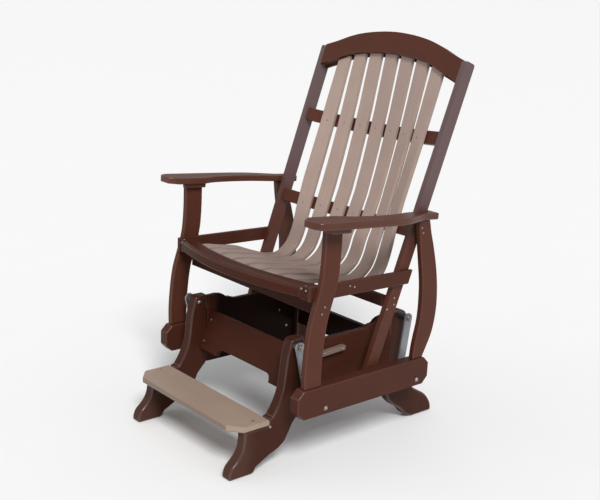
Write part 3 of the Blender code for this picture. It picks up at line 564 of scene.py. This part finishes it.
class GliderColours(bpy.types.PropertyGroup):
    brown: FloatVectorProperty(
        name="Frame boards", description="Colour of the brown plastic lumber", subtype="COLOR",
        size=3, min=0.0, max=1.0, default=(0.070, 0.0215, 0.0125))
    # Painted shade: the base boards are the same lumber as the frame boards, made darker for the
    # shade over the base.
    base: FloatVectorProperty(
        name="Base boards", description="Colour of the brown boards of the base, a little deeper",
        subtype="COLOR", size=3, min=0.0, max=1.0, default=(0.050, 0.0150, 0.0085))
    tan: FloatVectorProperty(
        name="Slats", description="Colour of the tan plastic lumber of the slats", subtype="COLOR",
        size=3, min=0.0, max=1.0, default=(0.338, 0.250, 0.214))
    strip: FloatVectorProperty(
        name="Stop strips", description="Colour of the two stop strips on the base",
        subtype="COLOR", size=3, min=0.0, max=1.0, default=(0.165, 0.112, 0.092))
    # Painted sheen: the colour the tops of the stiles turn towards, for the reflection of the
    # bright surroundings.
    stile_sheen: FloatVectorProperty(
        name="Bleached stiles", description="Colour to which the tops of the stiles have faded",
        subtype="COLOR", size=3, min=0.0, max=1.0, default=(0.110, 0.070, 0.072))
    footrest: FloatVectorProperty(
        name="Footrest", description="Colour of the footrest board, which is a little yellower",
        subtype="COLOR", size=3, min=0.0, max=1.0, default=(0.300, 0.222, 0.172))
    zinc: FloatVectorProperty(
        name="Swing arms", description="Colour of the zinc plating", subtype="COLOR",
        size=3, min=0.0, max=1.0, default=(0.34, 0.35, 0.37))
    steel: FloatVectorProperty(
        name="Screws and bolts", description="Colour of the stainless steel", subtype="COLOR",
        size=3, min=0.0, max=1.0, default=(0.36, 0.33, 0.31))
    black: FloatVectorProperty(
        name="Bushes", description="Colour of the black plastic", subtype="COLOR",
        size=3, min=0.0, max=1.0, default=SLOT_COLOUR["black_bush"])


class GLIDER_OT_base(bpy.types.Operator):
    """Dresses the legs, panels and aprons of the base"""
    bl_idname = "glider.base"
    bl_label = "Base boards"

    def execute(self, context):
        sizes = context.scene.glider_sizes
        for node in both("base_leg_front", "base_leg_rear"):
            board(node, "leg", "upright", sizes.thick_edge, steps=4)
        for node in both("base_side_panel"):
            board(node, "panel", "along", sizes.thin_edge)
        for node in ("base_apron_front", "base_apron_rear"):
            board(node, "panel", "across", sizes.thin_edge)
        return {"FINISHED"}


class GLIDER_OT_footrest(bpy.types.Operator):
    """Dresses the tan footrest board and the two stop strips"""
    bl_idname = "glider.footrest"
    bl_label = "Footrest and stop strips"

    def execute(self, context):
        sizes = context.scene.glider_sizes
        board("footrest_board", "footrest", "across", sizes.footrest_edge, steps=4)
        for node in both("stop_strip"):
            board(node, "strip", "along", STRIP_EDGE)
        return {"FINISHED"}


class GLIDER_OT_side_frames(bpy.types.Operator):
    """Dresses the posts, stiles and side rails of the chair"""
    bl_idname = "glider.side_frames"
    bl_label = "Side frames"

    def execute(self, context):
        sizes = context.scene.glider_sizes
        for node in both("front_post", "rear_post"):
            board(node, "frame", "upright", sizes.thin_edge)
        for node in both("back_stile"):
            board(node, "stile", "leaning", sizes.thin_edge, quads=True)
        for node in both("bottom_rail"):
            board(node, "rail", "along", sizes.rail_edge)
        for node in both("seat_side_rail"):
            board(node, "rail", "along", SIDE_RAIL_EDGE)
        return {"FINISHED"}


class GLIDER_OT_cross_rails(bpy.types.Operator):
    """Dresses the rails that run across under the seat and behind the back"""
    bl_idname = "glider.cross_rails"
    bl_label = "Cross rails"

    def execute(self, context):
        sizes = context.scene.glider_sizes
        for node in ("seat_front_rail", "seat_rear_rail"):
            board(node, "seat_rail", "across", sizes.thin_edge)
        for node in ("back_rail_lower", "back_rail_upper"):
            board(node, "frame", "across", sizes.thin_edge)
        board("back_top_rail", "frame", "across", sizes.rail_edge)
        return {"FINISHED"}


class GLIDER_OT_seat_front(bpy.types.Operator):
    """Dresses the bowed front board of the seat, its top edge well rounded, and its end blocks"""
    bl_idname = "glider.seat_front"
    bl_label = "Seat front board"

    def execute(self, context):
        sizes = context.scene.glider_sizes
        front_board = merged_copy("seat_front_board", "seat_front_board_dressed")
        finishes = (lumber("seat_front", "across"), lumber("seat_front", "across", edge=True))
        finished(front_board, *finishes)
        faces = front_board.data.polygons
        front = {key for face in faces if face.normal.y < -0.7 for key in face.edge_keys}
        top = {key for face in faces if face.normal.z > 0.9 for key in face.edge_keys}
        shared = front & top
        if not shared:
            raise RuntimeError("the front board has no top front edge")
        pick(front_board)
        for edge in front_board.data.edges:
            edge.select = edge.key in shared
        bpy.ops.object.mode_set(mode="EDIT")
        bpy.ops.mesh.select_mode(type="EDGE")
        bpy.ops.mesh.bevel(offset=sizes.front_edge, segments=6, affect="EDGES", material=1)
        bpy.ops.object.mode_set(mode="OBJECT")
        rounded(front_board, sizes.thin_edge, 3, SHARP_ABOVE)
        placed(front_board, "brown_board", "chair", "seat_front_board")
        for node in both("seat_end_block"):
            board(node, "seat_front", "across", sizes.thin_edge)
        return {"FINISHED"}


class GLIDER_OT_slats(bpy.types.Operator):
    """Dresses the seven bent slats"""
    bl_idname = "glider.slats"
    bl_label = "Slats"

    def execute(self, context):
        sizes = context.scene.glider_sizes
        for slat in SLATS:
            board(slat, "slat", "bent", sizes.slat_edge, sharp=50, quads=True)
        return {"FINISHED"}


class GLIDER_OT_armrests(bpy.types.Operator):
    """Dresses the armrests and the cleats under them"""
    bl_idname = "glider.armrests"
    bl_label = "Armrests"

    def execute(self, context):
        sizes = context.scene.glider_sizes
        for node in both("armrest"):
            board(node, "armrest", "along", sizes.rail_edge, steps=4)
        for node in both("arm_cleat"):
            board(node, "armrest", "along", CLEAT_EDGE)
        return {"FINISHED"}


class GLIDER_OT_swing_arms(bpy.types.Operator):
    """Dresses the flat steel swing arms and the bushes in their ends"""
    bl_idname = "glider.swing_arms"
    bl_label = "Swing arms"

    def execute(self, context):
        for node in both("front_arm", "rear_arm"):
            dressed(node, [zinc()], "zinc_steel", SWING_ARM_EDGE, steps=2)
        for end in ("front", "rear"):
            for node in both(end + "_upper_bush", end + "_lower_bush"):
                dressed(node, [black_plastic()], "black_bush", BUSH_EDGE, steps=2)
        return {"FINISHED"}


def cylinder(radius, tall, vertices, middle=None, turn=(0, 0, 0)):
    """A plain cylinder, standing on Z = 0 unless its middle is given."""
    if middle is None:
        middle = (0, 0, tall / 2)
    bpy.ops.object.select_all(action="DESELECT")
    bpy.ops.mesh.primitive_cylinder_add(
        vertices=vertices, radius=radius, depth=tall, location=middle, rotation=turn)
    return bpy.context.object


def domed(head, above, offset, steps):
    """Rounds the top rim of a head, which is the edges above a height."""
    for edge in head.data.edges:
        edge.select = all(head.data.vertices[index].co.z > above for index in edge.vertices)
    bpy.ops.object.mode_set(mode="EDIT")
    bpy.ops.mesh.select_mode(type="EDGE")
    bpy.ops.mesh.bevel(offset=offset, segments=steps, affect="EDGES")
    bpy.ops.object.mode_set(mode="OBJECT")


def domed_head(radius, tall):
    """A round head that stands on Z = 0, domed over a thin washer."""
    head = cylinder(radius, tall, 32)
    bpy.ops.object.transform_apply(location=True, rotation=True, scale=True)
    for face in head.data.polygons:
        face.select = face.normal.z > 0.9
    domed(head, tall * 0.9, tall * DOME_SHARE, 6)
    washer = cylinder(radius * WASHER_WIDE_SHARE, tall * WASHER_TALL_SHARE, 40)
    rounded(washer, tall * 0.05, 2, 50)
    rounded(head, tall * 0.04, 2, 60)
    pick(head, washer)
    bpy.ops.object.join()
    bpy.ops.object.transform_apply(location=True, rotation=True, scale=True)
    return head


def hex_nut(radius, tall, bolt):
    """A hexagon nut that stands on Z = 0, its corners chamfered, with the bolt's end through it."""
    nut = cylinder(radius, tall, 6)
    bpy.ops.object.transform_apply(location=True, rotation=True, scale=True)
    bpy.ops.object.select_all(action="DESELECT")
    bpy.ops.mesh.primitive_cone_add(
        vertices=36, radius1=radius * CHAMFER_FOOT_SHARE, radius2=radius * CHAMFER_TOP_SHARE,
        depth=tall * CHAMFER_TALL_SHARE, location=(0, 0, tall * 0.50))
    chamfer = bpy.context.object
    trim = nut.modifiers.new("chamfered corners", "BOOLEAN")
    trim.operation = "INTERSECT"
    trim.object = chamfer
    pick(nut)
    bpy.ops.object.modifier_apply(modifier=trim.name)
    bpy.data.objects.remove(chamfer)
    rounded(nut, tall * 0.05, 2, 40)
    stud = cylinder(bolt, tall * STUD_TALL_SHARE, 24)
    rounded(stud, bolt * 0.25, 2, 50)
    washer = cylinder(radius * NUT_WASHER_WIDE_SHARE, tall * NUT_WASHER_TALL_SHARE, 40)
    rounded(washer, tall * 0.05, 2, 50)
    pick(nut, stud, washer)
    bpy.ops.object.join()
    bpy.ops.object.transform_apply(location=True, rotation=True, scale=True)
    return nut


def copy_at(pattern, name, place):
    """A copy of a modelled pattern, with its own mesh, moved to a place."""
    copy = bpy.data.objects.new(name, pattern.data.copy())
    bpy.context.scene.collection.objects.link(copy)
    copy.matrix_world = place
    return copy


def joined(name, parts):
    """Joins parts into one piece whose object stands at the origin."""
    pick(*parts)
    if len(parts) > 1:
        bpy.ops.object.join()
    piece = bpy.context.object
    piece.name = name
    bpy.ops.object.transform_apply(location=True, rotation=True, scale=True)
    return piece


def facing(point, direction):
    """The place of a head that stands on a point and looks along a direction."""
    turn = Vector((0, 0, 1)).rotation_difference(Vector(direction))
    return Matrix.Translation(point) @ turn.to_matrix().to_4x4()


class GLIDER_OT_pivot_bolts(bpy.types.Operator):
    """Models the domed bolts, washers and nuts of the eight pivots"""
    bl_idname = "glider.pivot_bolts"
    bl_label = "Pivot bolts"

    def execute(self, context):
        tall = BOLT_END_TALL
        head = domed_head(BOLT_HEAD_RADIUS, tall)
        nut = hex_nut(NUT_RADIUS, tall, SHANK_RADIUS)
        for end in ("front", "rear"):
            for level in ("upper", "lower"):
                for side, sign in SIDES:
                    node = "%s_%s_bolt_%s" % (end, level, side)
                    low, high = box_of(node)
                    middle = (low + high) / 2
                    reach = Vector((sign * ((high.x - low.x) / 2 - tall), 0, 0))
                    outer, inner = middle + reach, middle - reach
                    first, second = (nut, head) if level == "upper" else (head, nut)
                    shank = cylinder(
                        SHANK_RADIUS, (outer - inner).length, 24,
                        middle=(outer + inner) / 2, turn=(0, math.pi / 2, 0))
                    rounded(shank, SHANK_EDGE, 1, 50)
                    bolt = joined(node + "_dressed", [
                        shank,
                        copy_at(first, "outer_end", facing(outer, (sign, 0, 0))),
                        copy_at(second, "inner_end", facing(inner, (-sign, 0, 0))),
                    ])
                    finished(bolt, bright_steel())
                    placed(bolt, "bright_steel", frame["nodes"][node]["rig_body"], node)
        bpy.data.objects.remove(head)
        bpy.data.objects.remove(nut)
        return {"FINISHED"}


def screw_head(radius):
    """A low domed screw head with a cross recess, standing on Z = 0."""
    tall = radius * SCREW_TALL_SHARE
    head = cylinder(radius, tall, 24, (0, 0, tall * 0.4))
    bpy.ops.object.transform_apply(location=True, rotation=True, scale=True)
    domed(head, tall * 0.8, tall * 0.6, 4)
    for turn in (0, math.pi / 2):
        bpy.ops.object.select_all(action="DESELECT")
        bpy.ops.mesh.primitive_cube_add(
            size=1, location=(0, 0, tall), rotation=(0, 0, turn),
            scale=(
                radius * RECESS_LONG_SHARE, radius * RECESS_WIDE_SHARE, tall * RECESS_DEEP_SHARE))
        slot = bpy.context.object
        recess = head.modifiers.new("recess", "BOOLEAN")
        recess.operation = "DIFFERENCE"
        recess.object = slot
        pick(head)
        bpy.ops.object.modifier_apply(modifier=recess.name)
        bpy.data.objects.remove(slot)
    bpy.ops.object.shade_smooth_by_angle(angle=SMOOTH_UP_TO)
    return head


def struck(board, start, direction):
    """Where a straight line meets a dressed board, and which way the board faces there."""
    piece = bpy.data.objects[board + "_dressed"]
    hit, point, normal, _ = piece.ray_cast(Vector(start), Vector(direction))
    if not hit:
        raise RuntimeError("no surface of %s lies there" % board)
    return facing(point, normal)


class GLIDER_OT_screws(bpy.types.Operator):
    """Models one screw of each kind and sets its copies into the boards"""
    bl_idname = "glider.screws"
    bl_label = "Screws"

    def execute(self, context):
        sizes = context.scene.glider_sizes
        context.view_layer.update()
        frame_head = screw_head(sizes.screw_head)
        base_head = screw_head(sizes.base_screw_head)
        slat_head = screw_head(sizes.slat_screw_head)

        frame_places = [
            struck(board + "_" + side, (sign, y, z), (-sign, 0, 0))
            for board, y, z in SIDE_SCREWS for side, sign in SIDES
        ]
        for side, sign in SIDES:
            block = "seat_end_block_" + side
            for x, z in BLOCK_FRONT_SCREWS_XZ:
                frame_places.append(struck(block, (sign * x, -1, z), (0, 1, 0)))
            x, y = BLOCK_TOP_SCREW_XY
            frame_places.append(struck(block, (sign * x, y, 1), (0, 0, -1)))
            armrest = "armrest_" + side
            low, high = box_of(armrest)
            for share in ARMREST_SCREW_SHARES:
                y = low.y + (high.y - low.y) * share
                frame_places.append(struck(armrest, (sign * ARMREST_SCREWS_X, y, 0), (0, 0, 1)))
            for x in BACK_RAIL_SCREWS_X:
                for rail in ("back_rail_lower", "back_rail_upper"):
                    low, high = box_of(rail)
                    z = (low.z + high.z) / 2
                    frame_places.append(struck(rail, (sign * x, 1, z), (0, -1, 0)))
        piece = joined("frame_screws", [
            copy_at(frame_head, "screw", place) for place in frame_places])
        finished(piece, bright_steel())
        placed(piece, "bright_steel", "chair")

        base_places = []
        for side, sign in SIDES:
            leg = "base_leg_front_" + side
            base_places.append(struck(leg, (sign, *FRONT_LEG_SCREW_YZ), (-sign, 0, 0)))
            x, y = FOOTREST_SCREW_XY
            base_places.append(struck("footrest_board", (sign * x, y, 1), (0, 0, -1)))
            for x, z in APRON_SCREWS_XZ:
                base_places.append(struck("base_apron_front", (sign * x, -1, z), (0, 1, 0)))
            for place in PANEL_SCREWS_YZ:
                base_places.append(struck("base_side_panel_" + side, (0, *place), (sign, 0, 0)))
            leg = "base_leg_rear_" + side
            base_places.append(struck(leg, (0, *REAR_LEG_SCREW_YZ), (sign, 0, 0)))
            strip = "stop_strip_" + side
            low, high = box_of(strip)
            for share in STRIP_SCREW_SHARES:
                y = low.y + (high.y - low.y) * share
                base_places.append(struck(strip, (sign, y, (low.z + high.z) / 2), (-sign, 0, 0)))
        piece = joined("base_screws", [copy_at(base_head, "screw", place) for place in base_places])
        finished(piece, bright_steel())
        placed(piece, "bright_steel", "base")

        slat_places = []
        for rail in ("back_rail_lower", "back_rail_upper"):
            low, high = box_of(rail)
            height = (low.z + high.z) / 2
            for slat in SLATS:
                low, high = box_of(slat)
                slat_places.append(struck(slat, ((low.x + high.x) / 2, -1, height), (0, 1, 0)))
        piece = joined("slat_screws", [copy_at(slat_head, "screw", place) for place in slat_places])
        finished(piece, painted_head())
        placed(piece, "tan_board", "chair")
        bpy.data.objects.remove(frame_head)
        bpy.data.objects.remove(base_head)
        bpy.data.objects.remove(slat_head)
        return {"FINISHED"}


class GLIDER_OT_stage(bpy.types.Operator):
    """Sets a pale floor, soft studio light and the camera"""
    bl_idname = "glider.stage"
    bl_label = "Stage"

    def execute(self, context):
        scene = context.scene
        bpy.ops.object.select_all(action="DESELECT")
        bpy.ops.mesh.primitive_plane_add(size=FLOOR_WIDE, location=(0, 0, 0))
        floor = context.object
        floor.name = "floor"
        pale = Finish("pale_floor")
        soft = pale.noise(pale.place, 3.0)
        pale.feed(pale.shader, {
            "Base Color": pale.mixed(soft, (0.78, 0.78, 0.78, 1), (0.80, 0.80, 0.80, 1)),
            "Roughness": 0.9,
        })
        floor.data.materials.append(pale.material)

        world = bpy.data.worlds.new("studio")
        world.use_nodes = True
        sky = world.node_tree.nodes["Background"]
        sky.inputs["Color"].default_value = (1, 1, 1, 1)
        sky.inputs["Strength"].default_value = SKY_POWER
        scene.world = world
        scene.view_settings.view_transform = "Standard"

        for name, rays, width, power in LAMPS:
            light = bpy.data.lights.new(name, "SUN")
            light.angle = math.radians(width)
            light.energy = power
            lamp = bpy.data.objects.new(name, light)
            scene.collection.objects.link(lamp)
            lamp.matrix_world = facing(Vector(rays) * LAMPS_AWAY, rays)

        turn, dip, roll = (math.radians(angle) for angle in CAMERA_ANGLES)
        flat = math.cos(dip)
        look = Vector((-math.sin(turn) * flat, math.cos(turn) * flat, -math.sin(dip)))
        level = Vector((math.cos(turn), math.sin(turn), 0))
        rise = level.cross(look)
        across = level * math.cos(roll) + rise * math.sin(roll)
        up = rise * math.cos(roll) - level * math.sin(roll)
        lens = bpy.data.cameras.new("camera")
        lens.lens = CAMERA_LENS
        lens.sensor_width = 36
        lens.clip_end = CAMERA_REACH
        camera = bpy.data.objects.new("camera", lens)
        scene.collection.objects.link(camera)
        place = Matrix((across, up, -look)).transposed().to_4x4()
        camera.matrix_world = Matrix.Translation(CAMERA_PLACE) @ place
        scene.camera = camera
        return {"FINISHED"}


class GLIDER_PT_panel(bpy.types.Panel):
    """Lists the glider's sizes, colours and pieces"""
    bl_idname = "GLIDER_PT_panel"
    bl_label = "Balcony glider"
    bl_space_type = "VIEW_3D"
    bl_region_type = "UI"
    bl_category = "Glider"

    def draw(self, context):
        column = self.layout.column()
        for settings in (context.scene.glider_sizes, context.scene.glider_colours):
            for name in settings.__annotations__:
                column.prop(settings, name)
        for operator in OPERATORS:
            column.operator(operator.bl_idname)


OPERATORS = (
    GLIDER_OT_base, GLIDER_OT_footrest, GLIDER_OT_side_frames, GLIDER_OT_cross_rails,
    GLIDER_OT_seat_front, GLIDER_OT_slats, GLIDER_OT_armrests, GLIDER_OT_swing_arms,
    GLIDER_OT_pivot_bolts, GLIDER_OT_screws, GLIDER_OT_stage,
)
CLASSES = (GliderSizes, GliderColours) + OPERATORS + (GLIDER_PT_panel,)


def register():
    for kind in CLASSES:
        bpy.utils.register_class(kind)
    bpy.types.Scene.glider_sizes = PointerProperty(type=GliderSizes)
    bpy.types.Scene.glider_colours = PointerProperty(type=GliderColours)


def unregister():
    del bpy.types.Scene.glider_colours
    del bpy.types.Scene.glider_sizes
    for kind in reversed(CLASSES):
        bpy.utils.unregister_class(kind)


def main():
    register()
    bpy.ops.glider.base()
    bpy.ops.glider.footrest()
    bpy.ops.glider.side_frames()
    bpy.ops.glider.cross_rails()
    bpy.ops.glider.seat_front()
    bpy.ops.glider.slats()
    bpy.ops.glider.armrests()
    bpy.ops.glider.swing_arms()
    bpy.ops.glider.pivot_bolts()
    bpy.ops.glider.screws()
    bpy.ops.glider.stage()


if __name__ == "__main__":
    main()
